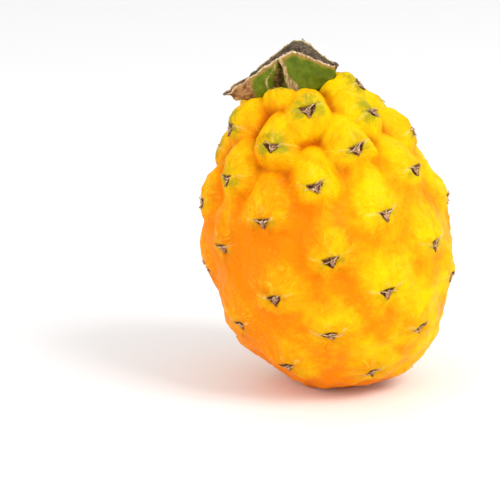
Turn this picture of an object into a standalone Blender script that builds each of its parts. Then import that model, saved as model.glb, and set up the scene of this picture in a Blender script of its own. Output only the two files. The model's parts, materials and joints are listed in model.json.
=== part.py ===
"""A whole yellow dragon fruit, standing on its blossom end and leaning a little to one side.

The fruit is one solid. Its knobs, called tubercles, grow on a golden-angle spiral, and each
carries a dry scale. A short piece of the three-winged cactus stem is left on top.
Units are metres and degrees, and +Z is up.
"""

import math

import bmesh
import bpy
from mathutils import Matrix, Vector
from mathutils.bvhtree import BVHTree

# The fruit's body. The half width and half length are measured over the tips of the tubercles.
FRUIT_HALF_WIDTH = 0.0403
FRUIT_HALF_LENGTH = 0.0518
FRUIT_LEAN = math.radians(12.0)
FLAT_SPOT_DEPTH = 0.0026
NAVEL_RADIUS = 0.0055
NAVEL_DEPTH = 0.0018

# The spiral that the tubercles grow on, counted from the stem.
TUBERCLES = 55
GOLDEN_TURN = math.radians(138.06)
FIRST_TURN = math.radians(314.4)
CROWDING_AT_STEM = 0.215
SPIRAL_SPAN = 0.97
AREOLE_BELOW_TIP = 0.0013

# One tubercle: a mound whose top lies a little towards the stem from its areole.
HEIGHT_AT_STEM = 0.0075
HEIGHT_AT_BLOSSOM = 0.0012
MOUND_SHIFT = 0.0030
MOUND_HALF_LENGTH = 0.0115
MOUND_HALF_WIDTH = 0.0105
FOLD_SOFTNESS = 0.0007
BODY_DIVISIONS = 5

# Growth is never exact: how far tubercles stray towards the stem, and round the body, at most,
# and how fast each stray swings from one tubercle to the next.
STRAY_RISE = 0.0012
STRAY_TURN = 0.0020
STRAY_RISE_SWING = 5.1
STRAY_TURN_SWING = 3.7

# The dry scale on each tubercle: a small wedge, broad towards the stem and pointed away from it.
SCALE_WIDTH = 0.0048
SCALE_LENGTH = 0.0046
SCALE_THICKNESS = 0.0011
SCALE_POINT = 0.75
SCALE_CLEAR_OF_TABLE = 0.0015

# The stem piece. Its foot sits in a hollow, and its wings spread above. Heights are taken
# from the tip of the ovoid, and directions from +X towards the back.
STEM_FOOT_RADIUS = 0.0055
STEM_FOOT_DEPTH = 0.0065
STEM_TOP = 0.0105
STEM_VALLEY_RADIUS = 0.0050
STEM_DROOP_CURVE = 1.5
STEM_GAP = 0.0006
STEM_SEGMENTS = 36
STEM_WING_SPREAD = math.radians(26.0)
STEM_WINGS = (
    # direction, reach from the axis, how far the wing's end droops
    (math.radians(190.0), 0.0228, 0.0110),
    (math.radians(-14.0), 0.0145, 0.0092),
    (math.radians(76.0), 0.0205, 0.0025),
)
STEM_HOLLOW_DEPTH = 0.0095
STEM_HOLLOW_RADIUS = 0.0085
SHOULDER_RISE = 0.0035
SHOULDER_RADIUS = 0.0220
# From the foot's centre, up the side and over to the top's centre: share of the foot's radius,
# share of the wing's reach, and share of the height.
STEM_PROFILE = (
    (0.0, 0.0, 0.0), (1.0, 0.0, 0.0), (0.8, 0.2, 0.30), (0.4, 0.62, 0.58), (0.1, 0.92, 0.78),
    (0.0, 1.0, 0.97), (0.0, 0.86, 1.0), (0.0, 0.5, 1.0), (0.0, 0.0, 1.0),
)

# A scale is lifted off the skin in small steps until its nearest corner clears it by this much.
CLEARANCE = 0.0003
LIFT_STEPS = 12

COLOURS = {
    "fruit": ((0.93, 0.50, 0.012, 1.0), 0.45),
    "stem": ((0.14, 0.18, 0.015, 1.0), 0.60),
    "scale": ((0.30, 0.13, 0.055, 1.0), 0.80),
}


def clear_scene():
    for old in list(bpy.data.objects):
        bpy.data.objects.remove(old, do_unlink=True)


def collection(name):
    made = bpy.data.collections.new(name)
    bpy.context.scene.collection.children.link(made)
    return made


def material(name):
    colour, roughness = COLOURS[name]
    made = bpy.data.materials.new(name)
    made.use_nodes = True
    shader = made.node_tree.nodes["Principled BSDF"]
    shader.inputs["Base Color"].default_value = colour
    shader.inputs["Roughness"].default_value = roughness
    shader.inputs["Metallic"].default_value = 0.0
    return made


def add_object(name, bm, home, look=None, smooth=True):
    """Turns a bmesh into an object in the collection home, with its normals pointing out."""
    bmesh.ops.recalc_face_normals(bm, faces=bm.faces)
    mesh = bpy.data.meshes.new(name)
    bm.to_mesh(mesh)
    bm.free()
    if look:
        mesh.materials.append(look)
    if smooth:
        mesh.shade_smooth()
    made = bpy.data.objects.new(name, mesh)
    home.objects.link(made)
    return made


def cut(target, cutter):
    modifier = target.modifiers.new(cutter.name, "BOOLEAN")
    modifier.operation = "DIFFERENCE"
    modifier.solver = "EXACT"
    modifier.object = cutter
    cutter.hide_render = True
    cutter.display_type = "WIRE"


def plateau(share):
    """1 near the axis, falling off round a share of 1."""
    return math.exp(-(share ** 4))


def ovoid_point(height, turn, inset=0.0):
    """A point at a height along the axis; turn 0 faces -Y and grows towards +X."""
    half_width = FRUIT_HALF_WIDTH - inset
    half_length = FRUIT_HALF_LENGTH - inset
    radius = half_width * math.sqrt(max(0.0, 1.0 - (height / half_length) ** 2))
    return Vector((radius * math.sin(turn), -radius * math.cos(turn), height))


def ovoid_normal(point):
    across = FRUIT_HALF_WIDTH ** 2
    along = FRUIT_HALF_LENGTH ** 2
    return Vector((point.x / across, point.y / across, point.z / along)).normalized()


def towards_stem(point):
    """The direction along the skin that leads to the stem."""
    normal = ovoid_normal(point)
    up = Vector((0.0, 0.0, 1.0))
    return (up - normal * up.dot(normal)).normalized()


def areole(index):
    """The place of one areole on the body, and the directions outwards and towards the stem."""
    share = (index + 0.5) / TUBERCLES
    share -= CROWDING_AT_STEM * share * (1.0 - share)
    height = (FRUIT_HALF_LENGTH - AREOLE_BELOW_TIP) * SPIRAL_SPAN * (1.0 - 2.0 * share)
    turn = FIRST_TURN + GOLDEN_TURN * index
    rise = STRAY_RISE * math.sin(STRAY_RISE_SWING * index)
    round_body = STRAY_TURN * math.cos(STRAY_TURN_SWING * index)
    place = ovoid_point(height + rise, turn, AREOLE_BELOW_TIP)
    radius = math.hypot(place.x, place.y)
    place = ovoid_point(height + rise, turn + round_body / radius, AREOLE_BELOW_TIP)
    return place, ovoid_normal(place), towards_stem(place)


def tubercle_height(height):
    """Tubercles are tall near the stem and almost flat at the blossom end."""
    share = 0.5 + 0.5 * height / FRUIT_HALF_LENGTH
    return HEIGHT_AT_BLOSSOM + (HEIGHT_AT_STEM - HEIGHT_AT_BLOSSOM) * share


def skin_level(point, mounds):
    """How far the skin lies under the ovoid over the tips: mounds that merge in soft folds."""
    total = 1.0
    for top, axes, tall in mounds:
        x, y, z = axes @ (point - top)
        total += math.exp(tall * (1.0 - x * x - y * y - z * z) / FOLD_SOFTNESS)
    return FOLD_SOFTNESS * math.log(total) - tubercle_height(point.z)


def end_rise(point):
    """The blunt shoulders round the stem piece's hollow, and the dip of the blossom scar."""
    reach = math.hypot(point.x, point.y)
    if point.z < 0.0:
        return -NAVEL_DEPTH * plateau(reach / NAVEL_RADIUS)
    shoulder = SHOULDER_RISE * plateau(reach / SHOULDER_RADIUS)
    return shoulder - STEM_HOLLOW_DEPTH * plateau(reach / STEM_HOLLOW_RADIUS)


def fruit_body(home, look):
    mounds = []
    for index in range(TUBERCLES):
        place, outwards, stemward = areole(index)
        side = stemward.cross(outwards)
        axes = Matrix((side / MOUND_HALF_WIDTH, stemward / MOUND_HALF_LENGTH,
                       outwards / MOUND_HALF_LENGTH))
        mounds.append((place + stemward * MOUND_SHIFT, axes, tubercle_height(place.z)))
    bm = bmesh.new()
    bmesh.ops.create_icosphere(bm, subdivisions=BODY_DIVISIONS, radius=1.0)
    for vertex in bm.verts:
        unit = vertex.co.normalized()
        point = Vector((unit.x * FRUIT_HALF_WIDTH, unit.y * FRUIT_HALF_WIDTH,
                        unit.z * FRUIT_HALF_LENGTH))
        rise = skin_level(point, mounds) + end_rise(point)
        vertex.co = point + ovoid_normal(point) * rise
    return add_object("fruit", bm, home, look)


def wing_shape(turn):
    """The stem piece's reach and droop in one direction from its axis."""
    reach = STEM_VALLEY_RADIUS
    droop = 0.0
    for direction, length, fall in STEM_WINGS:
        off = math.remainder(turn - direction, math.tau) / STEM_WING_SPREAD
        share = math.exp(-(off ** 2))
        reach += (length - STEM_VALLEY_RADIUS) * share
        droop += fall * share
    return reach, droop


def stem_piece(name, home, look=None, grown=0.0):
    """The three-winged stem piece. grown swells it outwards, to cut the room that it needs.

    It is made of triangles from the start, so that the piece and its room fold along the same edges.
    """
    rows = len(STEM_PROFILE) - 1
    bm = bmesh.new()
    bmesh.ops.create_uvsphere(bm, u_segments=STEM_SEGMENTS, v_segments=rows, radius=1.0)
    bmesh.ops.triangulate(bm, faces=bm.faces)
    for vertex in bm.verts:
        height = max(-1.0, min(1.0, vertex.co.z))
        row = round(rows * (1.0 - math.acos(height) / math.pi))
        foot_share, reach_share, height_share = STEM_PROFILE[row]
        turn = math.atan2(vertex.co.y, vertex.co.x)
        reach, droop = wing_shape(turn)
        radius = STEM_FOOT_RADIUS * foot_share + reach * reach_share
        top = STEM_TOP - droop * (radius / reach) ** STEM_DROOP_CURVE
        vertex.co = Vector((radius * math.cos(turn), radius * math.sin(turn),
                            (top + STEM_FOOT_DEPTH) * height_share - STEM_FOOT_DEPTH))
    bm.normal_update()
    lifted = Vector((0.0, 0.0, FRUIT_HALF_LENGTH))
    places = [vertex.co + vertex.normal * grown + lifted for vertex in bm.verts]
    for vertex, place in zip(bm.verts, places):
        vertex.co = place
    return add_object(name, bm, home, look)


def scale_mesh(place, outwards, stemward):
    """A small wedge lying on the skin with its point away from the stem."""
    bm = bmesh.new()
    bmesh.ops.create_uvsphere(bm, u_segments=8, v_segments=4, radius=0.5)
    side = stemward.cross(outwards).normalized()
    stemward = outwards.cross(side)
    for vertex in bm.verts:
        narrow = 1.0 - SCALE_POINT * max(0.0, 0.5 - vertex.co.y)
        local = Vector((vertex.co.x * narrow * SCALE_WIDTH, vertex.co.y * SCALE_LENGTH,
                        vertex.co.z * SCALE_THICKNESS))
        vertex.co = place + side * local.x + stemward * local.y + outwards * local.z
    return bm


def skin_tree(fruit):
    """The fruit's skin as it is after its cuts, for finding what lies closest to it."""
    bpy.context.view_layer.update()
    return BVHTree.FromObject(fruit, bpy.context.evaluated_depsgraph_get())


def lift_clear(bm, tree, outwards):
    """Moves a scale outwards until its corner nearest to the skin clears it."""
    for _ in range(LIFT_STEPS):
        gaps = []
        for vertex in bm.verts:
            near, normal, _, _ = tree.find_nearest(vertex.co)
            gaps.append((vertex.co - near).dot(normal))
        bmesh.ops.translate(bm, verts=bm.verts, vec=outwards * (CLEARANCE - min(gaps)))


def scales(home, look, fruit, standing):
    """One scale on each tubercle, but none at the flat spot that the fruit rests on."""
    tree = skin_tree(fruit)
    made = []
    for index in range(TUBERCLES):
        place, _, stemward = areole(index)
        on_skin, outwards, _, _ = tree.find_nearest(place)
        bm = scale_mesh(on_skin, outwards, stemward)
        lift_clear(bm, tree, outwards)
        lowest = min((standing @ vertex.co).z for vertex in bm.verts)
        if lowest < SCALE_CLEAR_OF_TABLE:
            bm.free()
        else:
            made.append(add_object(f"scale_{index + 1:02d}", bm, home, look))
    return made


def resting_pose():
    """Leans the fruit's axis towards -X, and lifts it so that its flat spot lies at height 0."""
    lean = Matrix.Rotation(-FRUIT_LEAN, 4, "Y")
    lowest = math.hypot(FRUIT_HALF_LENGTH * math.cos(FRUIT_LEAN),
                        FRUIT_HALF_WIDTH * math.sin(FRUIT_LEAN))
    return Matrix.Translation((0.0, 0.0, lowest - FLAT_SPOT_DEPTH)) @ lean


def to_middle(pieces, standing):
    """The small sideways move that puts the middle of the whole outline over the origin."""
    places = [standing @ vertex.co for piece in pieces for vertex in piece.data.vertices]
    middle = [(min(p[axis] for p in places) + max(p[axis] for p in places)) / 2 for axis in (0, 1)]
    return Matrix.Translation((-middle[0], -middle[1], 0.0))


def main():
    clear_scene()
    parts = collection("dragon_fruit")
    cutters = collection("cutters")
    looks = {name: material(name) for name in COLOURS}
    standing = resting_pose()

    fruit = fruit_body(parts, looks["fruit"])
    stem = stem_piece("stem_stub", parts, looks["stem"])
    cut(fruit, stem_piece("stem_room", cutters, grown=STEM_GAP))

    table = bmesh.new()
    bmesh.ops.create_cube(table, size=2.0 * FRUIT_HALF_LENGTH)
    below = Matrix.Translation((0.0, 0.0, -FRUIT_HALF_LENGTH))
    bmesh.ops.transform(table, matrix=standing.inverted() @ below, verts=table.verts)
    cut(fruit, add_object("flat_spot", table, cutters, smooth=False))

    pieces = [fruit, stem, *scales(parts, looks["scale"], fruit, standing)]
    core = bpy.data.objects.new("core", None)
    parts.objects.link(core)
    core.matrix_world = to_middle(pieces, standing) @ standing
    for piece in (*pieces, *cutters.objects):
        piece.parent = core


main()
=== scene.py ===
# %% [markdown]
# # A whole yellow dragon fruit
# The frame gives the measured solids: the fruit, its stem piece and one small wedge for each
# dry scale. This lesson dresses them: a knobbly waxy rind, papery scales with woody strands,
# and a cut piece of three-winged cactus stem. Every place comes from the frame. Units are metres.

# %% Load the frame
import json
import math
import random

import bmesh
import bpy
from mathutils import Matrix, Vector, noise
from mathutils.bvhtree import BVHTree

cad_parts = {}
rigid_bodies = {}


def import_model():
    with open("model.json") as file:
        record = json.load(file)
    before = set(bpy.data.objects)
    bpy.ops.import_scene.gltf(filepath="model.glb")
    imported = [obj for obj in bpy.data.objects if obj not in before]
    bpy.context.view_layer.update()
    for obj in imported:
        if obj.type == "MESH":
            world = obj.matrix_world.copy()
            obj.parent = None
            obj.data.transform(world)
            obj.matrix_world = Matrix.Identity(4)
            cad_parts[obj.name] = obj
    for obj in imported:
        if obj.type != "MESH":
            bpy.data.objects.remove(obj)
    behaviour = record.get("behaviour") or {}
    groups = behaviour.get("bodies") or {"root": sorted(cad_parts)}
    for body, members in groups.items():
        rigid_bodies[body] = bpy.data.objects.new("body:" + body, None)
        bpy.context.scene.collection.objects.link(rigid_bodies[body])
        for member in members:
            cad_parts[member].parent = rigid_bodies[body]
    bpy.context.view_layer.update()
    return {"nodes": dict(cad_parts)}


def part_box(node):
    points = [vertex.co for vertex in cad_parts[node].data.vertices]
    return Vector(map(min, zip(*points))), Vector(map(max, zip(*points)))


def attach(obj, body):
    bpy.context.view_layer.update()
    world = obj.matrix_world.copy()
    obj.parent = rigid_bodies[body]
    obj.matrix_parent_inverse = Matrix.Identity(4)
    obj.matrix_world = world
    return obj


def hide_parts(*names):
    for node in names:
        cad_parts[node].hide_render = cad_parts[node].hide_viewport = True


for old in list(bpy.data.objects):
    bpy.data.objects.remove(old, do_unlink=True)

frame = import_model()
MM = 0.001
print("nodes in the frame:", len(frame["nodes"]))

# %% [markdown]
# ## The fruit's own axes
# The fruit is an ovoid whose long axis leans 12 degrees to the left, and it rests on a flat spot.
# Growth is easier to describe along that axis, so the pieces are made upright round the origin
# and one matrix, standing, sets them down where the frame has them.

# %% The ovoid and how it stands
HALF_WIDTH = 40.3 * MM
HALF_LENGTH = 51.8 * MM
LEAN = math.radians(12.0)
FLAT_SPOT_DEPTH = 2.6 * MM
AREOLE_BELOW_TIP = 1.3 * MM

fruit_low, fruit_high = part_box("fruit")
fruit_middle = (fruit_low + fruit_high) / 2
standing_height = math.hypot(HALF_LENGTH * math.cos(LEAN), HALF_WIDTH * math.sin(LEAN))
standing_height += fruit_low.z - FLAT_SPOT_DEPTH
standing_place = Vector((fruit_middle.x, fruit_middle.y, standing_height))
standing = Matrix.Translation(standing_place) @ Matrix.Rotation(-LEAN, 4, "Y")
print("the fruit's middle is", [round(value / MM, 2) for value in standing_place], "mm")


# %% Directions on the ovoid
def outward_direction(point):
    across, along = HALF_WIDTH ** 2, HALF_LENGTH ** 2
    return Vector((point.x / across, point.y / across, point.z / along)).normalized()


def stemward_direction(point):
    """Along the skin, towards the stem."""
    outwards = outward_direction(point)
    up = Vector((0.0, 0.0, 1.0))
    return (up - outwards * up.dot(outwards)).normalized()


# %% [markdown]
# ## Helpers for node trees
# Geometry and material trees are both made of nodes and links. A small class keeps a formula
# readable: each method adds a node or a few, joins their inputs and hands back the result.

# %% A readable way to wire nodes
class Wiring:
    def __init__(self, tree):
        self.tree = tree

    def feed(self, socket, value):
        if isinstance(value, bpy.types.NodeSocket):
            self.tree.links.new(value, socket)
        else:
            socket.default_value = value

    def node(self, kind, sockets=None, **settings):
        made = self.tree.nodes.new(kind)
        for name, value in settings.items():
            setattr(made, name, value)
        for name, value in (sockets or {}).items():
            self.feed(made.inputs[name], value)
        return made

    def math(self, operation, *values):
        made = self.node("ShaderNodeMath", operation=operation)
        for socket, value in zip(made.inputs, values):
            self.feed(socket, value)
        return made.outputs[0]

    def add(self, *values):
        total = values[0]
        for value in values[1:]:
            total = self.math("ADD", total, value)
        return total

    def times(self, *values):
        product = values[0]
        for value in values[1:]:
            product = self.math("MULTIPLY", product, value)
        return product

    def minus(self, first, second):
        return self.math("SUBTRACT", first, second)

    def between(self, share, low, high):
        """low where share is 0, high where it is 1."""
        return self.add(low, self.times(share, self.minus(high, low)))

    def vector(self, operation, *values):
        made = self.node("ShaderNodeVectorMath", operation=operation)
        sockets = [made.inputs[0], made.inputs[3 if operation == "SCALE" else 1]]
        for socket, value in zip(sockets, values):
            self.feed(socket, value)
        single = operation in ("DOT_PRODUCT", "LENGTH")
        return made.outputs["Value" if single else "Vector"]

    def split(self, vector):
        return self.node("ShaderNodeSeparateXYZ", {"Vector": vector}).outputs

    def join(self, x, y, z):
        return self.node("ShaderNodeCombineXYZ", {"X": x, "Y": y, "Z": z}).outputs[0]

    def bell(self, value, width, power=2.0):
        """1 where value is 0, falling to nothing beyond width."""
        share = self.math("POWER", self.math("ABSOLUTE", self.math("DIVIDE", value, width)), power)
        return self.math("EXPONENT", self.times(share, -1.0))

    def step(self, value, start, end):
        """Rises smoothly from 0 at start to 1 at end."""
        sockets = {"Value": value, "From Min": start, "From Max": end}
        made = self.node("ShaderNodeMapRange", sockets, interpolation_type="SMOOTHSTEP")
        return made.outputs["Result"]

    def fade(self, value, start, end):
        """Falls smoothly from 1 at start to 0 at end."""
        return self.minus(1.0, self.step(value, start, end))

    def noise(self, vector, scale, detail=2.0, roughness=0.5):
        """Soft noise from 0 to 1."""
        sockets = {"Vector": vector, "Scale": scale, "Detail": detail, "Roughness": roughness}
        return self.node("ShaderNodeTexNoise", sockets).outputs[0]

    def stray(self, place, scale, spread):
        """A vector that wanders from place to place, within a cube of size spread round 0."""
        soft = self.node("ShaderNodeTexNoise", {"Vector": place, "Scale": scale, "Detail": 1.0})
        centred = self.vector("SUBTRACT", soft.outputs["Color"], (0.5, 0.5, 0.5))
        return self.vector("SCALE", centred, spread)

    def blend(self, share, first, second):
        """Mixes two colours."""
        made = self.node("ShaderNodeMix", data_type="RGBA")
        for index, value in ((0, share), (6, first), (7, second)):
            self.feed(made.inputs[index], value)
        return made.outputs[2]

    def read(self, name, kind="FLOAT"):
        """A value stored on the points."""
        made = self.node("GeometryNodeInputNamedAttribute", data_type=kind)
        made.inputs["Name"].default_value = name
        return made.outputs["Attribute"]

    def store(self, geometry, name, value, kind="FLOAT"):
        made = self.node("GeometryNodeStoreNamedAttribute", data_type=kind, domain="POINT")
        for label, content in (("Geometry", geometry), ("Name", name), ("Value", value)):
            self.feed(made.inputs[label], content)
        return made.outputs["Geometry"]

    def shape_of(self, thing):
        return self.node("GeometryNodeObjectInfo", {"Object": thing},
                         transform_space="ORIGINAL").outputs["Geometry"]

    def relief(self, shader, height, strength):
        """Makes the surface look raised by a height in metres."""
        bump = self.node("ShaderNodeBump", {"Height": height, "Distance": 1.0,
                                            "Strength": strength})
        self.feed(shader.inputs["Normal"], bump.outputs[0])


# %% Start a geometry tree and turn its result into a plain mesh
SOCKET_KINDS = {float: "NodeSocketFloat", int: "NodeSocketInt", Vector: "NodeSocketVector",
                bpy.types.Object: "NodeSocketObject", bpy.types.Material: "NodeSocketMaterial",
                bpy.types.Collection: "NodeSocketCollection"}


def geometry_tree(name, settings):
    """A tree with one named input for each setting, and those inputs by name."""
    tree = bpy.data.node_groups.new(name, "GeometryNodeTree")
    tree.interface.new_socket("Geometry", in_out="OUTPUT", socket_type="NodeSocketGeometry")
    for label, value in settings.items():
        tree.interface.new_socket(label, in_out="INPUT", socket_type=SOCKET_KINDS[type(value)])
    wiring = Wiring(tree)
    return wiring, wiring.node("NodeGroupInput").outputs


def finish_tree(wiring, geometry, material):
    realised = wiring.node("GeometryNodeRealizeInstances", {"Geometry": geometry})
    coloured = wiring.node("GeometryNodeSetMaterial",
                           {"Geometry": realised.outputs[0], "Material": material})
    wiring.node("NodeGroupOutput", {"Geometry": coloured.outputs[0]})


def in_scene(name, data):
    made = bpy.data.objects.new(name, data)
    bpy.context.scene.collection.objects.link(made)
    return made


def plain_mesh(name, tree, settings):
    """Runs a tree on an empty object and keeps only the mesh that it makes."""
    maker = in_scene(name, bpy.data.meshes.new(name + "_seed"))
    modifier = maker.modifiers.new(name, "NODES")
    modifier.node_group = tree
    for item in tree.interface.items_tree:
        if item.in_out == "INPUT":
            modifier[item.identifier] = settings[item.name]
    graph = bpy.context.evaluated_depsgraph_get()
    mesh = bpy.data.meshes.new_from_object(maker.evaluated_get(graph), depsgraph=graph)
    bpy.data.objects.remove(maker)
    mesh.name = name
    print(name, "has", len(mesh.polygons), "faces")
    return in_scene(name, mesh)


def material_tree(name):
    """An empty material: its wiring and its main shader."""
    material = bpy.data.materials.new(name)
    material.use_nodes = True
    return material, Wiring(material.node_tree), material.node_tree.nodes["Principled BSDF"]


# %% [markdown]
# ## Where the areoles are
# An areole is the woody spot at the outer end of each knob. The frame has a small wedge on each
# one, so the middle of its box, carried back to the upright fruit, tells where the knob grows.
# The points keep their own directions, and how strongly each knob grew, as attributes for the
# node trees to read.

# %% Gather the areoles
scale_nodes = sorted(name for name in frame["nodes"] if name.startswith("scale_"))


def areole_point(node):
    """The areole of one wedge, drawn back to just under the ovoid's surface."""
    low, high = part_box(node)
    point = standing.inverted() @ ((low + high) / 2)
    shape = Vector((point.x / (HALF_WIDTH - AREOLE_BELOW_TIP),
                    point.y / (HALF_WIDTH - AREOLE_BELOW_TIP),
                    point.z / (HALF_LENGTH - AREOLE_BELOW_TIP)))
    return point / shape.length


def stored_mesh(name, points, faces, attributes):
    """A mesh with vectors or numbers stored on its points."""
    mesh = bpy.data.meshes.new(name)
    mesh.from_pydata(points, [], faces)
    for label, values in attributes.items():
        if isinstance(values[0], Vector):
            stored = mesh.attributes.new(label, "FLOAT_VECTOR", "POINT")
            stored.data.foreach_set("vector", [part for value in values for part in value])
        else:
            stored = mesh.attributes.new(label, "FLOAT", "POINT")
            stored.data.foreach_set("value", values)
    return mesh


def point_cloud(name, points, **attributes):
    return in_scene(name, stored_mesh(name, points, [], attributes))


VIGOUR_SEED = 11
WEAKEST, STRONGEST = 0.88, 1.10
chance = random.Random(VIGOUR_SEED)
areoles = [areole_point(node) for node in scale_nodes]
outwards = [outward_direction(point) for point in areoles]
stemwards = [stemward_direction(point) for point in areoles]
sideways = [up.cross(out) for up, out in zip(stemwards, outwards)]
vigour = [chance.uniform(WEAKEST, STRONGEST) for _ in areoles]
areole_cloud = point_cloud("areole_cloud", areoles, outwards=outwards, stemward=stemwards,
                           sideways=sideways, vigour=vigour)
print(len(areoles), "areoles")

# %% [markdown]
# ## The stem piece
# The fruit is cut off with a bit of the cactus it grew on. That stem has three thin wings: two
# flat green faces meet under a corky rim in front, the left wing has dried and droops, and the
# cut on top has shrunk to dark fibres. Its outline has a few corners joined by straight lines,
# and a profile carries it from the foot up to the cut. So it is woven from rings of points round
# an axis, with the wear added as small moves of those points.

# %% The wings' outline
STEM_FOOT_RADIUS = 5.5 * MM
STEM_FOOT_DEPTH = 6.5 * MM
STEM_TOP = 10.5 * MM
# Corners of the outline, seen from above: direction in degrees and reach from the axis in mm.
STEM_CORNERS = (
    (-17.0, 14.8), (-10.0, 14.8), (10.0, 12.6), (46.0, 13.4), (69.0, 20.0), (76.0, 20.3),
    (86.0, 8.5), (125.0, 5.2), (165.0, 7.2), (184.0, 12.0), (188.5, 22.8), (192.0, 22.8),
    (201.0, 12.0), (225.0, 6.0), (270.0, 5.0),
)
# The top is a blunt roof: its ridge runs from front to back, and it falls to both sides.
STEM_RIDGE_X = 1.0 * MM
STEM_RIDGE_BLUNT = 1.2 * MM
STEM_LEFT_SLOPE = 0.43
STEM_RIGHT_SLOPE = 0.76
STEM_FRONT_TILT = 0.10
# Share of the foot's radius, share of the wing's reach, share of the height.
STEM_PROFILE = (
    (0.0, 0.0, 0.0), (1.0, 0.0, 0.0), (0.5, 0.45, 0.17), (0.2, 0.80, 0.50), (0.05, 0.95, 0.84),
    (0.0, 1.0, 0.97), (0.0, 0.86, 1.0), (0.0, 0.5, 1.0), (0.0, 0.0, 1.0),
)
RIM_ROW = 5
FULL_TURN = 360.0
CREVICE_X = -5.6 * MM
CREVICE_LEAN = 0.23


def smooth(value, start, end):
    share = min(1.0, max(0.0, (value - start) / (end - start)))
    return share * share * (3.0 - 2.0 * share)


def bell(value, width):
    return math.exp(-(value / width) ** 2)


def corner_place(angle, reach):
    return Vector((reach * math.cos(math.radians(angle)), reach * math.sin(math.radians(angle))))


def wing_reach(turn):
    """How far the rim is from the axis in one direction, on straight lines between corners."""
    first_angle, first_reach = STEM_CORNERS[0]
    degrees = (math.degrees(turn) - first_angle) % FULL_TURN + first_angle
    corners = (*STEM_CORNERS, (first_angle + FULL_TURN, first_reach))
    before, after = next(pair for pair in zip(corners, corners[1:]) if degrees <= pair[1][0])
    start, end = corner_place(*before), corner_place(*after)
    ahead = Vector((math.cos(turn), math.sin(turn)))
    return MM * start.cross(end - start) / ahead.cross(end - start)


def roof_height(x, y):
    from_ridge = x - STEM_RIDGE_X
    slope = STEM_RIGHT_SLOPE if from_ridge > 0.0 else STEM_LEFT_SLOPE
    fall = slope * (math.hypot(from_ridge, STEM_RIDGE_BLUNT) - STEM_RIDGE_BLUNT)
    return STEM_TOP + STEM_FRONT_TILT * min(y, 0.0) - fall


# %% One point of the stem piece, with its wear
RIM_LIP = 0.45 * MM
CUT_SINK = 1.0 * MM
CREVICE_HALF_WIDTH = 1.5 * MM
CREVICE_DEPTH = 2.2 * MM
RIM_RAGGED = 0.45 * MM
CUT_FIBRES = 0.55 * MM
FACE_SINK = 0.35 * MM
FACE_GRAIN = 0.12 * MM
CREVICE_WANDER = 0.3 * MM
BORDER_RISE = 0.25 * MM
WING_CRUMPLE = 0.9 * MM
TIP_CURL = 1.1 * MM
# Where each kind of wear sets in, and where it is full, from the axis outwards.
DRIED_WING = (11.5 * MM, 15.0 * MM)
BURNT_WING = (19.5 * MM, 22.5 * MM)
CURLED_RIGHT_TIP = (12.2 * MM, 14.2 * MM)
CURLED_BACK_TIP = (18.2 * MM, 20.2 * MM)


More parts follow.
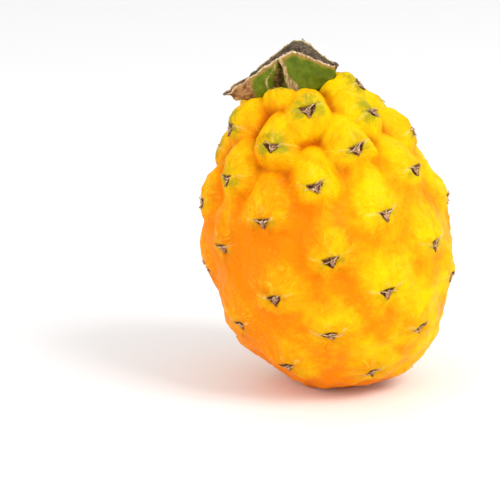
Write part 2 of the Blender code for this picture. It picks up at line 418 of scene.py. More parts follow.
def stem_point(turn, row):
    """A point on the stem piece, and how much of each finish it has, from 0 to 1."""
    reach = wing_reach(turn)
    whole = min(int(row), len(STEM_PROFILE) - 2)
    part = row - whole
    foot_share, reach_share, height_share = (
        a + (b - a) * part for a, b in zip(STEM_PROFILE[whole], STEM_PROFILE[whole + 1]))
    radius = STEM_FOOT_RADIUS * foot_share + reach * reach_share
    top = roof_height(radius * math.cos(turn), radius * math.sin(turn))
    height = (top + STEM_FOOT_DEPTH) * height_share - STEM_FOOT_DEPTH
    point = Vector((radius * math.cos(turn), radius * math.sin(turn), height))

    rim = bell(row - RIM_ROW, 0.5)
    cut = smooth(row, RIM_ROW + 0.15, RIM_ROW + 0.6)
    side = smooth(row, 1.0, 1.6) * (1.0 - smooth(row, RIM_ROW - 0.4, RIM_ROW))
    rough = noise.noise(point / (2.2 * MM))
    fine = noise.noise(point / (0.8 * MM) + Vector((7.0, 3.0, 1.0)))
    ragged = noise.noise(Vector((turn * 9.0, 4.0, 2.0))) + 0.6 * noise.noise(
        Vector((turn * 31.0, 1.0, 5.0)))

    outward = Vector((math.cos(turn), math.sin(turn), 0.0))
    up = Vector((0.0, 0.0, 1.0))
    point += outward * (RIM_LIP * rim * (0.6 + 0.6 * ragged))
    point += up * (rim * RIM_RAGGED * ragged)
    # The cut has shrunk below its rim, in fibres that run along each wing.
    fibres = noise.noise(Vector((turn * 22.0, radius / (6.0 * MM), 9.0)))
    point -= up * cut * (CUT_SINK * (0.8 + 0.4 * rough) - CUT_FIBRES * fibres)
    # The green faces are nearly flat, and sink a little as they dry.
    point -= outward * side * (FACE_SINK * (0.5 + rough) + FACE_GRAIN * fine)
    # The crevice where the two front faces meet.
    in_front = smooth(-point.y, 0.0, 2.0 * MM) * side
    across = point.x - CREVICE_X - CREVICE_LEAN * height
    across += CREVICE_WANDER * math.sin(height / (1.1 * MM))
    half_width = CREVICE_HALF_WIDTH * (1.3 - 1.2 * smooth(height, 0.001, 0.0078))
    crevice = in_front * bell(across, half_width) * (1.0 - smooth(height, 0.0065, 0.0082))
    point -= outward * CREVICE_DEPTH * crevice
    patch = 0.9 * MM + 1.5 * MM * smooth(-height, -0.003, 0.003)
    border = in_front * max(0.8 * bell(across + 1.5 * half_width + 0.2 * MM, 0.35 * MM),
                            bell(across - 1.3 * half_width - patch, patch))
    border *= 1.0 - smooth(height, 0.0070, 0.0090)
    point += outward * BORDER_RISE * border * (1.0 + fine)
    # The left wing's end has dried out and is crumpled.
    dried_wing = smooth(-point.x, *DRIED_WING)
    tip_curl = max(smooth(point.x, *CURLED_RIGHT_TIP), smooth(point.y, *CURLED_BACK_TIP))
    point += outward * dried_wing * 0.5 * MM * fine + up * dried_wing * WING_CRUMPLE * rough
    point += up * tip_curl * TIP_CURL
    dried = max(dried_wing, tip_curl, 0.7 * rim)
    burnt = max(tip_curl, 0.8 * smooth(-point.x, *BURNT_WING))
    return point, {"rim": rim, "cut": cut, "dried": dried, "crevice": crevice,
                   "border": border, "burnt": burnt,
                   "below_rim": smooth(row, RIM_ROW - 2.2, RIM_ROW) * side}


# %% Weave the points into a closed mesh
STEM_SEGMENTS = 440
STEM_ROWS_EACH = 8
RIM_STEPS = 3600


def even_turns(count):
    """Directions that share out the rim's length evenly, so that the wings aren't coarse."""
    fine = [math.tau * step / RIM_STEPS for step in range(RIM_STEPS + 1)]
    rim_points = [wing_reach(turn) * Vector((math.cos(turn), math.sin(turn))) for turn in fine]
    lengths = [0.0]
    for before, after in zip(rim_points, rim_points[1:]):
        lengths.append(lengths[-1] + (after - before).length)
    turns, index = [], 0
    for step in range(count):
        while lengths[index + 1] < lengths[-1] * step / count:
            index += 1
        turns.append(fine[index])
    return turns


def surface_of_rows(name, rows, finishes):
    """A closed mesh: rings of points between a single point at each end."""
    ring = len(rows[1])
    points = [point for row in rows for point in row]
    starts = [0] + [1 + ring * index for index in range(len(rows) - 1)]
    faces = []
    for step in range(ring):
        after = (step + 1) % ring
        faces.append((starts[0], starts[1] + after, starts[1] + step))
        for low, high in zip(starts[1:-2], starts[2:-1]):
            faces.append((low + step, low + after, high + after, high + step))
        faces.append((starts[-2] + step, starts[-2] + after, starts[-1]))
    mesh = stored_mesh(name, points, faces, {
        label: [finish[label] for finish in finishes] for label in finishes[0]})
    mesh.shade_smooth()
    return mesh


def stem_mesh():
    rows, finishes = [], []
    last = len(STEM_PROFILE) - 1
    turns = even_turns(STEM_SEGMENTS)
    for index in range(last * STEM_ROWS_EACH + 1):
        at_end = index in (0, last * STEM_ROWS_EACH)
        made = [stem_point(turn, index / STEM_ROWS_EACH)
                for turn in (turns[:1] if at_end else turns)]
        rows.append([point for point, _ in made])
        finishes.extend(finish for _, finish in made)
    mesh = surface_of_rows("stem_piece", rows, finishes)
    mesh.transform(standing @ Matrix.Translation((0.0, 0.0, HALF_LENGTH)))
    return mesh


stem_piece = in_scene("stem_piece", stem_mesh())
print("stem piece:", len(stem_piece.data.polygons), "faces")

# %% [markdown]
# ## The stem's finish
# Fresh green on the flat faces, ochre where the green dies back below the rim, pale cork on the
# rim, red-brown on the dried wing and grey-brown fibres on the cut. The numbers stored on the
# mesh say where each one is, and noise breaks up their edges.

# %% Stem material
stem_look, paint, shader = material_tree("winged_stem")


def attribute(name, result="Fac"):
    return paint.node("ShaderNodeAttribute", attribute_name=name).outputs[result]


def patches(where, breakup, share, start, end):
    """Where a stored number is high, with noise to break up its edge."""
    return paint.step(paint.add(where, paint.times(breakup, share)), start, end)


rim, cut, dried = attribute("rim"), attribute("cut"), attribute("dried")
crevice, border, below_rim = attribute("crevice"), attribute("border"), attribute("below_rim")
place = paint.node("ShaderNodeTexCoord").outputs["Object"]
mottle = paint.noise(place, 260.0, 4.0, 0.6)
coarse = paint.noise(place, 520.0, 4.0, 0.65)
grain = paint.noise(paint.vector("MULTIPLY", place, (1.0, 1.0, 0.25)), 1500.0, 3.0, 0.6)

green = paint.blend(paint.step(mottle, 0.3, 0.75), (0.075, 0.120, 0.004, 1),
                    (0.175, 0.215, 0.007, 1))
ochre = paint.blend(grain, (0.28, 0.17, 0.025, 1), (0.45, 0.28, 0.05, 1))
near_rim = patches(below_rim, mottle, 0.6, 0.80, 1.20)
colour = paint.blend(paint.times(near_rim, 0.85), green, ochre)
brown = paint.blend(paint.step(coarse, 0.35, 0.65), (0.13, 0.048, 0.014, 1),
                    (0.44, 0.23, 0.085, 1))
cork = paint.blend(paint.step(grain, 0.3, 0.7), (0.34, 0.20, 0.09, 1), (0.82, 0.64, 0.42, 1))
colour = paint.blend(patches(dried, mottle, 0.9, 0.7, 1.15), colour, brown)
colour = paint.blend(patches(rim, mottle, 0.5, 0.75, 1.1), colour, cork)
straw = paint.blend(paint.step(grain, 0.3, 0.7), (0.22, 0.12, 0.035, 1), (0.66, 0.48, 0.22, 1))
colour = paint.blend(patches(border, coarse, 1.1, 0.85, 1.35), colour, straw)
crack = paint.blend(paint.step(coarse, 0.45, 0.7), (0.050, 0.025, 0.004, 1),
                    (0.24, 0.14, 0.03, 1))
colour = paint.blend(patches(crevice, coarse, 0.4, 0.4, 0.8), colour, crack)
fibre = paint.blend(paint.step(paint.add(paint.times(grain, 0.6), paint.times(coarse, 0.4)),
                               0.40, 0.64), (0.028, 0.017, 0.010, 1), (0.22, 0.155, 0.10, 1))
colour = paint.blend(cut, colour, fibre)
burnt = paint.times(patches(attribute("burnt"), coarse, 0.5, 0.6, 1.1), 0.8)
colour = paint.blend(burnt, colour, (0.055, 0.035, 0.024, 1))
paint.feed(shader.inputs["Base Color"], colour)
paint.feed(shader.inputs["Roughness"], paint.add(0.42, paint.times(0.4, paint.math(
    "MAXIMUM", dried, cut))))
paint.relief(shader, paint.add(paint.times(grain, 0.25 * MM), paint.times(mottle, 0.3 * MM)), 0.8)
shader.inputs["IOR"].default_value = 1.25
stem_piece.data.materials.append(stem_look)

# %% [markdown]
# ## The rind's finish
# The rind is one waxy skin. Its colour runs from clear yellow on the knobs to orange, with
# painted shade that makes it orange in the folds, low down and on the left flank, and darker
# still in the creases near the stem. It keeps green round each areole, mostly near the stem,
# and pale corky lines that spread from it. The tree further down stores on the skin what this
# needs: how deep in a fold a point lies, how far up the fruit it is, and which areole is
# nearest, how far off and which way.

# %% Rind material
BEND_SCALE = 170.0
BEND_SPREAD = 7.0 * MM
SPOKE_SCALE = 2.2
# Keeps the lines round one areole unlike those round the next.
NUMBER_STEP = 17.0


def spoke_noise(wiring, x, y, place, run, number, closeness, **detail):
    """Noise in bent lines that run to an areole. A direction has no seam, as an angle would."""
    bent = wiring.stray(place, BEND_SCALE, BEND_SPREAD)
    aside = wiring.vector("ADD", wiring.join(x, y, 0.0), bent)
    around = wiring.vector("NORMALIZE", wiring.vector("MULTIPLY", aside, (1.0, 1.0, 0.0)))
    depth = wiring.join(0.0, 0.0, wiring.add(run, wiring.times(number, NUMBER_STEP)))
    spot = wiring.vector("ADD", wiring.vector("SCALE", around, closeness), depth)
    return wiring.noise(spot, SPOKE_SCALE, **detail)


rind_look, paint, shader = material_tree("waxy_rind")
fold, along = attribute("fold"), attribute("along")
place = paint.node("ShaderNodeTexCoord").outputs["Object"]
local = attribute("areole_place", "Vector")
x, y, _ = paint.split(local)
from_middle = paint.math("ABSOLUTE", x)
distance = paint.vector("LENGTH", paint.join(x, y, 0.0))
number = attribute("areole_number")

blotch = paint.noise(place, 70.0, 3.0, 0.55)
speckle = paint.noise(place, 900.0, 3.0, 0.6)
spokes = spoke_noise(paint, x, y, place, paint.times(distance, 90.0), number, 4.5,
                     detail=3.0, roughness=0.6)
inner, nearest = attribute("inner"), attribute("nearest")
close = paint.times(inner, paint.fade(nearest, 4.0 * MM, 10.0 * MM))
near = paint.times(inner, paint.fade(nearest, 5.0 * MM, 15.0 * MM))
own_luck = paint.node("ShaderNodeTexWhiteNoise", {"W": number},
                      noise_dimensions="1D").outputs["Value"]

# Yellow on the knobs, with random orange blotches and streaks. On top of that, painted shade:
# orange in the folds (less near the stem), lower down, and on the left flank, away from the key
# lamp.
left_flank_painted_shade = paint.fade(paint.split(place)[0], -36.0 * MM, 26.0 * MM)
near_stem = paint.step(along, 0.50, 0.90)
fold_painted_shade_weight = paint.add(0.85, paint.times(near_stem, -0.50))
orange_and_painted_shade = paint.add(paint.times(fold, fold_painted_shade_weight), paint.times(blotch, 0.8), -0.50,
                         paint.times(near_stem, -0.12),
                         paint.times(paint.minus(1.0, along), 0.42),
                         paint.times(left_flank_painted_shade, 0.48))
yellow = paint.blend(paint.step(blotch, 0.35, 0.7), (0.88, 0.58, 0.001, 1),
                     (0.87, 0.50, 0.001, 1))
streaks = paint.noise(place, 240.0, 4.0, 0.65)
colour = paint.blend(paint.step(paint.add(orange_and_painted_shade, paint.times(
    paint.add(streaks, -0.5), 0.9)), 0.0, 0.90), yellow, (0.84, 0.22, 0.001, 1))
# Painted shade: a darker orange-brown deep in the creases near the stem.
crease_painted_shade = paint.times(fold, paint.step(along, 0.45, 0.9))
colour = paint.blend(paint.step(crease_painted_shade, 0.50, 1.00), colour, (0.50, 0.10, 0.001, 1))

# Fine pale wrinkles that run to the areole, and pores over the whole skin.
breaks = paint.step(paint.noise(place, 330.0, 2.0), 0.35, 0.65)
lemon = paint.times(paint.step(spokes, 0.50, 0.68), near, breaks,
                    paint.add(0.35, paint.times(along, 0.40)),
                    paint.add(0.15, paint.times(paint.step(y, -1.5 * MM, 2.0 * MM), 0.85)))
colour = paint.blend(lemon, colour, (0.90, 0.64, 0.03, 1))
pores = paint.noise(place, 1500.0, 2.0, 0.6)
specks = paint.times(paint.step(speckle, 0.52, 0.72), 0.22, paint.fade(fold, 0.3, 0.6))
colour = paint.blend(specks, colour, (0.92, 0.66, 0.03, 1))
colour = paint.blend(paint.times(paint.step(pores, 0.55, 0.72), 0.40), colour,
                     (0.80, 0.30, 0.001, 1))

# Green round the areole: two patches beside it and a thinner wash above it.
beside = paint.times(paint.bell(paint.add(from_middle, -2.9 * MM), 2.3 * MM), close,
                     paint.bell(paint.add(y, 0.3 * MM), 1.8 * MM), 0.8)
wash = paint.times(paint.bell(paint.vector("LENGTH", paint.join(x, paint.add(
    y, -3.2 * MM), 0.0)), 5.5 * MM), close, paint.step(along, 0.70, 0.95))
patchy = paint.add(paint.times(streaks, 0.8), paint.times(spokes, 0.8))
greening = paint.times(
    paint.add(beside, wash), paint.add(paint.times(paint.step(along, 0.2, 0.5), 0.70),
                                       paint.times(paint.step(along, 0.5, 0.95), 0.30)),
    paint.add(0.6, paint.times(own_luck, 0.6)), paint.step(patchy, 0.45, 1.15))
colour = paint.blend(paint.times(paint.step(greening, 0.02, 0.60), 0.85), colour,
                     (0.36, 0.34, 0.012, 1))

# Pale corky lines: a moustache to both sides, and a midrib towards the stem.
moustache_line = paint.add(0.35 * MM, paint.times(from_middle, 0.27), paint.times(
    paint.add(streaks, -0.5), 2.5 * MM))
moustache = paint.times(paint.bell(paint.minus(y, moustache_line), 0.42 * MM),
                        paint.step(from_middle, 0.5 * MM, 2.0 * MM),
                        paint.fade(from_middle, 4.5 * MM, 8.0 * MM))
midrib = paint.times(paint.bell(x, 0.5 * MM), paint.step(y, 0.5 * MM, 2.0 * MM),
                     paint.fade(y, 4.0 * MM, 8.0 * MM))
ridges = paint.times(paint.add(moustache, paint.times(midrib, 0.35)), close, breaks)
colour = paint.blend(paint.times(paint.math("MINIMUM", ridges, 1.0), 0.55), colour,
                     (0.90, 0.66, 0.22, 1))

# The scar at the blossom end, where the flower dried and fell off.
scar = paint.fade(paint.add(along, paint.times(streaks, 0.004)), 0.0045, 0.0065)
colour = paint.blend(paint.times(scar, 0.9), colour, paint.blend(
    paint.step(speckle, 0.4, 0.6), (0.10, 0.045, 0.015, 1), (0.36, 0.20, 0.08, 1)))

# The areole itself: a brown triangle that points away from the stem.
inside = paint.add(from_middle, paint.times(y, -0.75))
frayed = paint.add(inside, paint.times(paint.add(streaks, -0.5), 4.0 * MM))
triangle = paint.times(close, paint.fade(frayed, 1.4 * MM, 2.1 * MM),
                       paint.fade(y, 0.9 * MM, 1.9 * MM))
woody = paint.blend(paint.step(speckle, 0.45, 0.75), (0.07, 0.022, 0.007, 1),
                    (0.42, 0.20, 0.10, 1))
colour = paint.blend(triangle, colour, woody)
paint.feed(shader.inputs["Base Color"], colour)

height = paint.add(paint.times(speckle, 0.12 * MM), paint.times(streaks, 0.55 * MM),
                   paint.times(spokes, near, 0.95 * MM), paint.times(ridges, 0.3 * MM))
paint.relief(shader, height, 0.7)
paint.feed(shader.inputs["Roughness"], paint.add(0.33, paint.times(speckle, 0.12)))
shader.inputs["IOR"].default_value = 1.11
shader.inputs["Subsurface Weight"].default_value = 0.08
shader.inputs["Subsurface Radius"].default_value = (1.0, 0.40, 0.05)
shader.inputs["Subsurface Scale"].default_value = 2.0 * MM

# %% [markdown]
# ## The rind's shape
# All knobs follow one rule round their own areole, so Geometry Nodes make them. A cube's grid is
# blown up to an ovoid, then a repeat zone visits each areole and adds its mound. The mounds are
# merged through an exponential sum, which leaves soft folds where they meet: sharp creases near
# the stem and wide low ones further down, as the fruit swelled.

# %% Sizes of the rind
rind_settings = {
    "Areoles": areole_cloud,
    "Skin": rind_look,
    "Grid rows": 129,
    "Half width": HALF_WIDTH,
    "Half length": HALF_LENGTH,
    "Height at stem": 8.2 * MM,
    "Height at blossom": 1.4 * MM,
    "Mound shift": 1.0 * MM,
    "Gentle side": 19.0 * MM,
    "Steep side": 8.2 * MM,
    "Mound half width": 11.4 * MM,
    "Narrower at stem": 1.9 * MM,
    "Waviness": 9.0 * MM,
    "Fold at stem": 0.22 * MM,
    "Fold at blossom": 1.50 * MM,
    "Wrinkle depth": 1.5 * MM,
    "Shoulder rise": 3.5 * MM,
    "Shoulder radius": 22.0 * MM,
    "Stem hollow depth": 9.5 * MM,
    "Stem hollow radius": 8.5 * MM,
    "Scar depth": 2.2 * MM,
    "Scar radius": 5.5 * MM,
    "Standing place": standing_place,
    "Lean": -LEAN,
}

# %% Blow a cube up to an ovoid
grow, given = geometry_tree("knobbly_rind", rind_settings)
position = grow.node("GeometryNodeInputPosition").outputs[0]
grid = grow.node("GeometryNodeMeshCube", {
    "Size": (2.0, 2.0, 2.0), "Vertices X": given["Grid rows"], "Vertices Y": given["Grid rows"],
    "Vertices Z": given["Grid rows"]})
even = grow.vector("TANGENT", grow.vector("SCALE", position, math.pi / 4))
sizes = grow.join(given["Half width"], given["Half width"], given["Half length"])
ovoid = grow.node("GeometryNodeSetPosition", {
    "Geometry": grid.outputs["Mesh"],
    "Position": grow.vector("MULTIPLY", grow.vector("NORMALIZE", even), sizes)})

# %% Values that ride on the grid's points
store, read = grow.store, grow.read
start = store(ovoid.outputs["Geometry"], "mounds", 0.0)
start = store(start, "nearest", 1.0)
start = store(start, "second", 1.0)
start = store(start, "areole_number", 0.0)
start = store(start, "areole_place", (0.0, 0.0, 0.0), "FLOAT_VECTOR")

height_share = grow.add(0.5, grow.times(0.5, grow.math(
    "DIVIDE", grow.split(position)[2], given["Half length"])))
swelling = grow.math("POWER", grow.math("MAXIMUM", height_share, 0.0), 1.7)
tall = grow.between(swelling, given["Height at blossom"], given["Height at stem"])
upper = grow.step(height_share, 0.50, 0.90)
softness = grow.times(
    grow.add(grow.times(upper, given["Fold at stem"]), grow.times(
        grow.minus(1.0, upper), given["Fold at blossom"])),
    grow.add(0.4, grow.times(1.2, grow.noise(position, 55.0, 1.0))))
wave = grow.stray(position, 48.0, given["Waviness"])

# %% Visit each areole and add its mound
cloud = grow.shape_of(given["Areoles"])
turns = grow.node("GeometryNodeAttributeDomainSize", {"Geometry": cloud})
zone_in = grow.node("GeometryNodeRepeatInput")
zone_out = grow.node("GeometryNodeRepeatOutput")
zone_in.pair_with_output(zone_out)
grow.feed(zone_in.inputs["Iterations"], turns.outputs["Point Count"])
grow.feed(zone_in.inputs["Geometry"], start)
turn_number = zone_in.outputs["Iteration"]


def of_areole(value, kind="FLOAT_VECTOR"):
    """A value of the areole whose turn it is."""
    return grow.node("GeometryNodeSampleIndex", {
        "Geometry": cloud, "Value": value, "Index": turn_number}, data_type=kind).outputs[0]


own_axes = [of_areole(read(name, "FLOAT_VECTOR")) for name in ("sideways", "stemward", "outwards")]
offset = grow.vector("SUBTRACT", position, of_areole(position))
own_place = grow.join(*(grow.vector("DOT_PRODUCT", offset, axis) for axis in own_axes))
wavy = grow.vector("ADD", offset, wave)
across, up_skin, out = (grow.vector("DOT_PRODUCT", wavy, axis) for axis in own_axes)
from_top = grow.minus(up_skin, given["Mound shift"])
is_gentle = grow.math("GREATER_THAN", from_top, 0.0)
half = grow.between(is_gentle, given["Steep side"], given["Gentle side"])


def squared_share(value, size):
    share = grow.math("DIVIDE", value, size)
    return grow.times(share, share)


half_width = grow.minus(given["Mound half width"], grow.times(upper, given["Narrower at stem"]))
fall = grow.add(squared_share(across, half_width), squared_share(from_top, half),
                squared_share(out, given["Steep side"]))
strength = of_areole(read("vigour"), "FLOAT")
level = grow.times(tall, strength, grow.minus(1.0, fall))
mound = grow.math("EXPONENT", grow.math("DIVIDE", level, softness))
visited = store(zone_in.outputs["Geometry"], "mounds", grow.add(read("mounds"), mound))

far = grow.vector("LENGTH", own_place)
closer = grow.math("LESS_THAN", far, read("nearest"))
keep = grow.minus(1.0, closer)
new_place = grow.vector("ADD", grow.vector("SCALE", own_place, closer),
                        grow.vector("SCALE", read("areole_place", "FLOAT_VECTOR"), keep))
visited = store(visited, "areole_place", new_place, "FLOAT_VECTOR")
visited = store(visited, "areole_number", grow.add(
    grow.times(turn_number, closer), grow.times(read("areole_number"), keep)))
visited = store(visited, "second", grow.math("MINIMUM", read("second"), grow.math(
    "MAXIMUM", far, read("nearest"))))
visited = store(visited, "nearest", grow.math("MINIMUM", far, read("nearest")))
grow.feed(zone_out.inputs["Geometry"], visited)

# %% Level of the skin: mounds, shoulders round the stem, the scar, and small growth marks
summed = grow.times(softness, grow.math("LOGARITHM", grow.add(1.0, read("mounds")), math.e))
fold_depth = grow.minus(1.0, grow.math("DIVIDE", summed, tall))
reach = grow.vector("LENGTH", grow.vector("MULTIPLY", position, (1.0, 1.0, 0.0)))
is_lower = grow.math("LESS_THAN", grow.split(position)[2], 0.0)
is_upper = grow.minus(1.0, is_lower)
shoulder = grow.times(given["Shoulder rise"], grow.bell(reach, given["Shoulder radius"], 4.0))
hollow = grow.times(given["Stem hollow depth"], grow.bell(reach, given["Stem hollow radius"], 4.0))
scar = grow.times(given["Scar depth"], grow.bell(reach, given["Scar radius"], 4.0))

own_x, own_y, _ = grow.split(read("areole_place", "FLOAT_VECTOR"))
own_side = grow.math("ABSOLUTE", own_x)
own_distance = grow.vector("LENGTH", grow.join(own_x, own_y, 0.0))
lumps = grow.add(
    grow.times(grow.minus(grow.noise(position, 75.0, 2.0), 0.5), 3.0 * MM),
    grow.times(grow.minus(grow.noise(position, 150.0, 3.0), 0.5), 1.8 * MM))
inner = grow.step(grow.minus(read("second"), read("nearest")), 0.5 * MM, 3.0 * MM)
close = grow.times(inner, grow.fade(read("nearest"), 5.0 * MM, 9.0 * MM))
line = grow.add(0.35 * MM, grow.times(own_side, 0.27))
moustache = grow.times(
    grow.bell(grow.minus(own_y, line), 0.75 * MM), 0.35 * MM, close,
    grow.step(own_side, 0.4 * MM, 1.8 * MM),
    grow.fade(own_side, 4.0 * MM, 7.5 * MM))
midrib = grow.times(
    grow.bell(own_x, 0.7 * MM), 0.2 * MM, close, grow.step(own_y, 0.8 * MM, 2.2 * MM),
    grow.fade(own_y, 4.0 * MM, 8.0 * MM))
pit = grow.times(grow.bell(own_distance, 1.9 * MM, 4.0), -0.7 * MM)
wrinkle_lines = spoke_noise(grow, own_x, own_y, position, grow.times(own_distance, 70.0),
                            read("areole_number"), 2.6)
wrinkles = grow.times(
    grow.minus(wrinkle_lines, 0.5), given["Wrinkle depth"],
    inner, grow.step(own_distance, 1.5 * MM, 4.0 * MM), grow.add(0.4, height_share),
    grow.fade(read("nearest"), 7.0 * MM, 15.0 * MM))

rise = grow.add(
    grow.minus(summed, tall),
    grow.times(is_upper, grow.minus(shoulder, hollow)),
    grow.times(is_lower, scar, -1.0),
    lumps, moustache, midrib, pit, wrinkles)
across_squared = grow.times(given["Half width"], given["Half width"])
along_squared = grow.times(given["Half length"], given["Half length"])
outward = grow.vector("NORMALIZE", grow.vector("DIVIDE", position, grow.join(
    across_squared, across_squared, along_squared)))

# %% Set the skin out, lean it, and press it flat where it rests
skin = store(zone_out.outputs["Geometry"], "fold", grow.math("MAXIMUM", fold_depth, 0.0))
skin = store(skin, "along", height_share)
skin = store(skin, "inner", inner)
skin = grow.node("GeometryNodeSetPosition", {
    "Geometry": skin, "Offset": grow.vector("SCALE", outward, rise)})
skin = grow.node("GeometryNodeTransform", {
    "Geometry": skin.outputs[0], "Translation": given["Standing place"],
    "Rotation": grow.join(0.0, given["Lean"], 0.0)})
world_x, world_y, world_z = grow.split(position)
skin = grow.node("GeometryNodeSetPosition", {
    "Geometry": skin.outputs[0],
    "Position": grow.join(world_x, world_y, grow.math("MAXIMUM", world_z, 0.0))})
skin = grow.node("GeometryNodeSetShadeSmooth", {"Geometry": skin.outputs[0]})
finish_tree(grow, skin.outputs[0], given["Skin"])
rind = plain_mesh("rind", grow.tree, rind_settings)


# %% [markdown]
# ## The rind gives way to the stem
# The stem piece sits in a hollow, and the knobs press against its wings. Any point of the skin
# that would lie inside the stem piece is moved out to its surface, with a hair's gap.

# %% Press the rind off the stem piece
STEM_GAP = 0.3 * MM
PRESS_REACH = 12.0 * MM


def surface_tree(piece):
    return BVHTree.FromPolygons([v.co for v in piece.data.vertices],
                                [p.vertices for p in piece.data.polygons])


def lies_inside(tree, point):
    """Counts the walls between a point and the sky: an odd number means inside."""
    walls, sky = 0, Vector((0.03, 0.02, 1.0)).normalized()
    hit = tree.ray_cast(point, sky)[0]
    while hit is not None:
        walls += 1
        hit = tree.ray_cast(hit + sky * 0.001 * MM, sky)[0]
    return walls % 2 == 1


def press_off(piece, other, gap):
    """Moves the points of piece that lie in other, or closer than gap, out of it."""
    tree = surface_tree(other)
    moved = 0
    for vertex in piece.data.vertices:
        near, normal, _, away = tree.find_nearest(vertex.co, PRESS_REACH)
        if near is not None and (away < gap or lies_inside(tree, vertex.co)):
            vertex.co = near + normal * gap
            moved += 1
    return moved


print("points pressed off the stem:", press_off(rind, stem_piece, STEM_GAP))

# %% [markdown]
# ## Dry scales and woody strands
# Each knob carried a small leaf, which has dried to a pinkish brown triangle pointing away from
# the stem, with stiff woody strands across it. A few shapes are enough: Geometry Nodes
# put one on each areole with its own turn and size, then lay it on the skin, so that every edge
# follows the rind.


# %% Shapes of a dry scale and of a set of strands
def shape_object(name, points, lifts, faces, home):
    """A small shape drawn flat, with each point's height over the skin stored as lift."""
    mesh = stored_mesh(name, points, faces, {"lift": lifts})
    mesh.shade_smooth()
    made = bpy.data.objects.new(name, mesh)
    home.objects.link(made)
    return made


SHAPE_KINDS = 4
SCALE_SEED = 40
SCALE_COLUMNS, SCALE_ROWS = 9, 9


def scale_shape(index, home):
    """A thin curled triangle: broad towards the stem, with a lifted point."""
    own = random.Random(SCALE_SEED + index)
    width, length = own.uniform(2.0, 2.6) * MM, own.uniform(1.9, 2.6) * MM
    bend, twist = own.uniform(-0.35, 0.35) * MM, own.uniform(-0.25, 0.25)
    points, lifts = [], []
    for layer in (1, -1):
        for row in range(SCALE_ROWS):
            down = row / (SCALE_ROWS - 1)
            half = 0.5 * width * ((1.0 - down) ** 0.8 * 0.92 + 0.08)
            half *= 1.0 + 0.18 * math.sin(9.0 * down + own.uniform(-0.5, 0.5))
            for column in range(SCALE_COLUMNS):
                side = 2.0 * column / (SCALE_COLUMNS - 1) - 1.0
                curl = 0.35 * side * side + twist * side + 0.45 * down ** 2
                keel = 0.30 * math.exp(-(side / 0.22) ** 2)
                edge = 1.0 if 0 < column < SCALE_COLUMNS - 1 and 0 < row < SCALE_ROWS - 1 else 0.0
                points.append((side * half + bend * down, length * (0.16 - down), 0.0))
                lifts.append((0.15 + 0.6 * curl + keel + layer * 0.12 * edge) * MM)
    count = SCALE_COLUMNS * SCALE_ROWS
    faces = []
    for row in range(SCALE_ROWS - 1):
        for column in range(SCALE_COLUMNS - 1):
            a = row * SCALE_COLUMNS + column
            quad = (a, a + SCALE_COLUMNS, a + SCALE_COLUMNS + 1, a + 1)
            faces.append(quad)
            faces.append(tuple(count + corner for corner in reversed(quad)))
    made = shape_object(f"scale_shape_{index}", points, lifts, faces, home)
    bm = bmesh.new()
    bm.from_mesh(made.data)
    rim_pairs = [vertex for vertex in bm.verts if vertex.is_boundary]
    bmesh.ops.remove_doubles(bm, verts=rim_pairs, dist=0.001 * MM)
    bm.to_mesh(made.data)
    bm.free()
    return made


STRAND_SEED = 70
STRAND_RINGS, STRAND_SIDES = 7, 5


def strand_shape(index, home):
    """Stiff strands that cross over the areole, thick in the middle."""
    own = random.Random(STRAND_SEED + index)
    points, lifts, faces = [], [], []
    ends = [((-1.5, 0.9), (0.3, -1.7)), ((1.6, 0.9), (-0.2, -1.6)), ((-1.6, 0.5), (1.5, 0.9)),
            ((-3.5, 1.2), (0.6, 0.3)), ((3.6, 1.6), (-0.5, 0.2)), ((0.1, 1.8), (0.3, -0.9)),
            ((-0.9, -0.4), (1.0, -0.2))]
    for begin, end in ends:
        begin, end = (Vector((p[0] + own.uniform(-0.5, 0.5), p[1] + own.uniform(-0.5, 0.5)))
                      for p in (begin, end))
        thickness = own.uniform(0.13, 0.21)
        arch, sway = own.uniform(0.35, 0.65), own.uniform(-0.4, 0.4)
        across = (end - begin).normalized().orthogonal()
        first = len(points)
        for ring in range(STRAND_RINGS):
            share = ring / (STRAND_RINGS - 1)
            bow = math.sin(math.pi * share)
            middle = begin.lerp(end, share) + across * sway * bow
            radius = thickness * (0.25 + 0.75 * bow)
            for corner in range(STRAND_SIDES):
                turn = math.tau * corner / STRAND_SIDES
                spot = middle + across * radius * math.cos(turn)
                points.append((spot.x * MM, spot.y * MM, 0.0))
                lifts.append((0.10 + arch * bow + radius * math.sin(turn)) * MM)
        for ring in range(STRAND_RINGS - 1):
            for corner in range(STRAND_SIDES):
                after = (corner + 1) % STRAND_SIDES
                low, high = first + ring * STRAND_SIDES, first + (ring + 1) * STRAND_SIDES
                faces.append((low + corner, high + corner, high + after, low + after))
        faces.append(tuple(first + corner for corner in range(STRAND_SIDES)))
        last = first + (STRAND_RINGS - 1) * STRAND_SIDES
        faces.append(tuple(last + corner for corner in reversed(range(STRAND_SIDES))))
    return shape_object(f"strand_shape_{index}", points, lifts, faces, home)


scale_shapes = bpy.data.collections.new("scale_shapes")
strand_shapes = bpy.data.collections.new("strand_shapes")
for variant in range(SHAPE_KINDS):
    scale_shape(variant, scale_shapes)
    strand_shape(variant, strand_shapes)


# %% Find each areole on the finished skin
# The skin within this reach of an areole sets how its shapes tilt.
LEVEL_REACH = 2.5 * MM


def laid_places(skin_piece):
    """For each areole, the nearest place on the skin and the turn that lays a shape there."""
    tree = surface_tree(skin_piece)
    places, turns = [], []
    for point, stemward in zip(areoles, stemwards):
        near, _, _, _ = tree.find_nearest(standing @ point)
        normals = [found[1] for found in tree.find_nearest_range(near, LEVEL_REACH)]
        normal = sum(normals, Vector()).normalized()
        side = (standing.to_3x3() @ stemward).cross(normal).normalized()
        axes = Matrix((side, normal.cross(side), normal)).transposed()
        places.append(near)
        turns.append(Vector(axes.to_euler()))
    return places, turns


places, turns = laid_places(rind)
laid_cloud = point_cloud("laid_cloud", places, turn=turns)

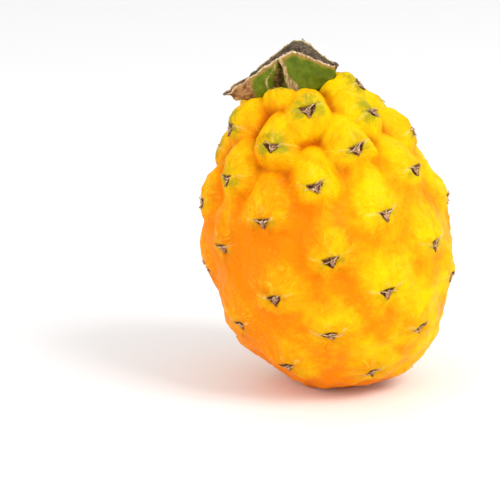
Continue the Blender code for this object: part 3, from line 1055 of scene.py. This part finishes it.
# %% A tree that lays shapes on the skin
laying_settings = {
    "Places": laid_cloud, "Shapes": scale_shapes, "Rind": rind, "Look": rind_look,
    "Smallest": 0.80, "Largest": 1.15, "Most turn": math.radians(16.0), "Seed": 3,
}
lay, given = geometry_tree("laid_on_the_rind", laying_settings)
shapes = lay.node("GeometryNodeCollectionInfo", {
    "Collection": given["Shapes"], "Separate Children": True, "Reset Children": True})
RANDOM_SOCKETS = {"FLOAT": ("Min_001", "Max_001", 1), "INT": ("Min_002", "Max_002", 2)}


def draw(kind, least, most, seed):
    """A random number for each areole."""
    made = lay.node("FunctionNodeRandomValue", data_type=kind)
    least_socket, most_socket, output = RANDOM_SOCKETS[kind]
    for identifier, value in ((least_socket, least), (most_socket, most), ("Seed", seed)):
        lay.feed(next(s for s in made.inputs if s.identifier == identifier), value)
    return made.outputs[output]


size = draw("FLOAT", given["Smallest"], given["Largest"], given["Seed"])
pick = draw("INT", 0, SHAPE_KINDS - 1, given["Seed"])
spin = draw("FLOAT", lay.times(given["Most turn"], -1.0), given["Most turn"],
            lay.add(given["Seed"], 5.0))
placed = lay.node("GeometryNodeInstanceOnPoints", {
    "Points": lay.shape_of(given["Places"]), "Instance": shapes.outputs[0], "Pick Instance": True,
    "Instance Index": pick, "Rotation": lay.read("turn", "FLOAT_VECTOR"),
    "Scale": size})
turned = lay.node("GeometryNodeRotateInstances", {
    "Instances": placed.outputs[0],
    "Rotation": lay.join(0.0, 0.0, spin), "Local Space": True})
loose = lay.node("GeometryNodeRealizeInstances", {"Geometry": turned.outputs[0]})
skin = lay.shape_of(given["Rind"])
nearest = lay.node("GeometryNodeProximity", {"Target": skin}, target_element="FACES")
normal = lay.node("GeometryNodeSampleNearestSurface", {
    "Mesh": skin, "Value": lay.node("GeometryNodeInputNormal").outputs[0]},
    data_type="FLOAT_VECTOR")
laid = lay.node("GeometryNodeSetPosition", {
    "Geometry": loose.outputs[0],
    "Position": lay.vector("ADD", nearest.outputs["Position"], lay.vector(
        "SCALE", normal.outputs[0], lay.read("lift")))})
finish_tree(lay, laid.outputs[0], given["Look"])

# %% [markdown]
# ## Finish of the scales and strands
# Dead leaf tissue is matt and fibrous: pinkish tan where it is thin, dark brown along its veins
# and in its cracks. Strands are paler, like straw.


# %% Two dry materials from one recipe
def dry_material(name, dark, pale, stretch):
    material, wires, main = material_tree(name)
    spot = wires.node("ShaderNodeTexCoord").outputs["Object"]
    veins = wires.noise(wires.vector("MULTIPLY", spot, stretch), 1100.0, 3.0, 0.65)
    patches = wires.noise(spot, 420.0, 2.0, 0.5)
    share = wires.step(wires.add(wires.times(veins, 0.6), wires.times(patches, 0.55)), 0.42, 0.72)
    wires.feed(main.inputs["Base Color"], wires.blend(share, dark, pale))
    wires.relief(main, wires.times(veins, 0.25 * MM), 0.8)
    main.inputs["Roughness"].default_value = 0.75
    return material


scale_look = dry_material("papery_scale", (0.14, 0.040, 0.022, 1), (0.60, 0.29, 0.17, 1),
                          (1.0, 1.0, 0.35))
strand_look = dry_material("woody_strand", (0.24, 0.10, 0.045, 1), (0.82, 0.56, 0.32, 1),
                           (1.0, 1.0, 0.6))
dry_scales = plain_mesh("dry_scales", lay.tree, {**laying_settings, "Look": scale_look})
strands = plain_mesh("areole_strands", lay.tree, {
    **laying_settings, "Shapes": strand_shapes, "Look": strand_look, "Smallest": 0.75,
    "Largest": 1.1, "Seed": 8})

# %% Give each piece its body and its place in the frame
for piece, finish, nodes in ((rind, "rind", ["fruit"]), (stem_piece, "stem", ["stem_stub"]),
                             (dry_scales, "dry_scale", scale_nodes), (strands, "dry_scale", [])):
    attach(piece, "root")
    if nodes:
        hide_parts(*nodes)

for helper in (areole_cloud, laid_cloud):
    bpy.data.objects.remove(helper)
for home in (scale_shapes, strand_shapes):
    for shape in list(home.objects):
        bpy.data.objects.remove(shape)
    bpy.data.collections.remove(home)

# %% [markdown]
# ## Floor, light and camera
# A white floor under a white sky gives a plain studio. One large soft lamp high on the right
# shapes the knobs, and a weaker one on the left keeps the folds open.

# %% Floor
floor_mesh = bpy.data.meshes.new("floor")
FLOOR_HALF = 4.0
floor_mesh.from_pydata([(side * FLOOR_HALF, depth * FLOOR_HALF, 0.0) for side, depth in (
    (-1, -1), (1, -1), (1, 1), (-1, 1))], [], [(0, 1, 2, 3)])
floor = in_scene("floor", floor_mesh)
floor_look, _, shader = material_tree("white_floor")
shader.inputs["Base Color"].default_value = (0.94, 0.94, 0.94, 1)
shader.inputs["Roughness"].default_value = 0.7
floor_mesh.materials.append(floor_look)

# %% Light
world = bpy.data.worlds.new("studio_white")
world.use_nodes = True
sky = Wiring(world.node_tree)
rising = sky.split(sky.node("ShaderNodeTexCoord").outputs["Generated"])[2]
high = sky.step(rising, 0.15, 0.60)
sky.feed(world.node_tree.nodes["Background"].inputs["Strength"],
         sky.add(1.0, sky.times(high, -0.15)))
world.node_tree.nodes["Background"].inputs["Color"].default_value = (1.0, 1.0, 1.0, 1)
bpy.context.scene.world = world
bpy.context.scene.view_settings.view_transform = "Standard"


def soft_lamp(name, place, size, power):
    lamp = bpy.data.lights.new(name, "AREA")
    lamp.size, lamp.energy = size, power
    made = in_scene(name, lamp)
    made.location = place
    made.rotation_euler = (standing_place - Vector(place)).to_track_quat("-Z", "Y").to_euler()


soft_lamp("key", (0.75, -0.55, 0.95), 0.55, 9.5)
soft_lamp("fill", (-0.85, -0.60, 0.35), 0.60, 3.0)

# %% Camera
CAMERA_DISTANCE = 0.75
CAMERA_ELEVATION = math.radians(14.0)
CAMERA_LENS = 168.75
FRUIT_RIGHT_OF_MIDDLE = 24.64 * MM
FRUIT_ABOVE_MIDDLE = 4.8 * MM
forward = Vector((0.0, math.cos(CAMERA_ELEVATION), -math.sin(CAMERA_ELEVATION)))
upward = Vector((0.0, math.sin(CAMERA_ELEVATION), math.cos(CAMERA_ELEVATION)))
camera_data = bpy.data.cameras.new("camera")
camera_data.lens = CAMERA_LENS
camera_data.clip_start = 0.01
camera = in_scene("camera", camera_data)
camera.location = (standing_place - Vector((FRUIT_RIGHT_OF_MIDDLE, 0.0, 0.0))
                   - upward * FRUIT_ABOVE_MIDDLE - forward * CAMERA_DISTANCE)
camera.rotation_euler = forward.to_track_quat("-Z", "Y").to_euler()
bpy.context.scene.camera = camera
